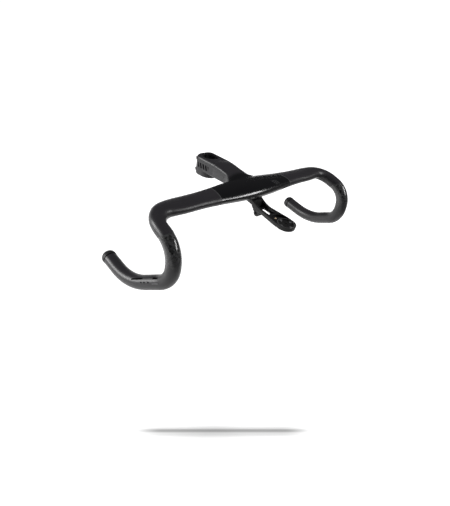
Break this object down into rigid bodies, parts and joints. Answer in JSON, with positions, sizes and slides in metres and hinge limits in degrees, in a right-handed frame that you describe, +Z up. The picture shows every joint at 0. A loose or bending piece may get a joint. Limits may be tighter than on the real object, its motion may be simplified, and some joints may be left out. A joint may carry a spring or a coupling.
{
  "type": "integrated handlebar stem",
  "caption": "One-piece drop handlebar and stem with flat aero tops, flared round drops, a split steerer clamp and a computer mount arm under the bar.",
  "frame": {"origin": "on the steerer axis at the lower face of the stem's clamp", "axes": "+Z up along the steerer, -Y forward to the bar and the computer mount, +X to the rider's left"},
  "size_m": [0.49, 0.2437, 0.1495],
  "materials": {
    "carbon": "satin lacquer over carbon fibre",
    "arm_plastic": "moulded, fine matt",
    "puck_plastic": "moulded, semi-matt",
    "cap_plastic": "moulded, semi-gloss",
    "rubber": "plain",
    "steel": "black oxide",
    "aluminium": "turned",
    "brass": "turned"
  },
  "bodies": {
    "root": {"bar_and_stem": "carbon", "clamp_bolts": "steel", "clamp_washers": "steel", "clamp_nuts": "aluminium", "mount_arm": "arm_plastic", "mount_arm_bolts": "steel", "bar_inserts": "aluminium", "puck_inserts": "brass", "computer_puck": "puck_plastic", "puck_screws": "steel", "camera_lug": "arm_plastic", "camera_lug_screws": "steel", "camera_lug_inserts": "brass", "camera_lug_nut": "steel", "plug_cap_right": "cap_plastic", "plug_sleeve_right": "rubber", "plug_cone_right": "aluminium", "plug_screw_right": "steel", "plug_cap_left": "cap_plastic", "plug_sleeve_left": "rubber", "plug_cone_left": "aluminium", "plug_screw_left": "steel"}
  },
  "joints": []
}
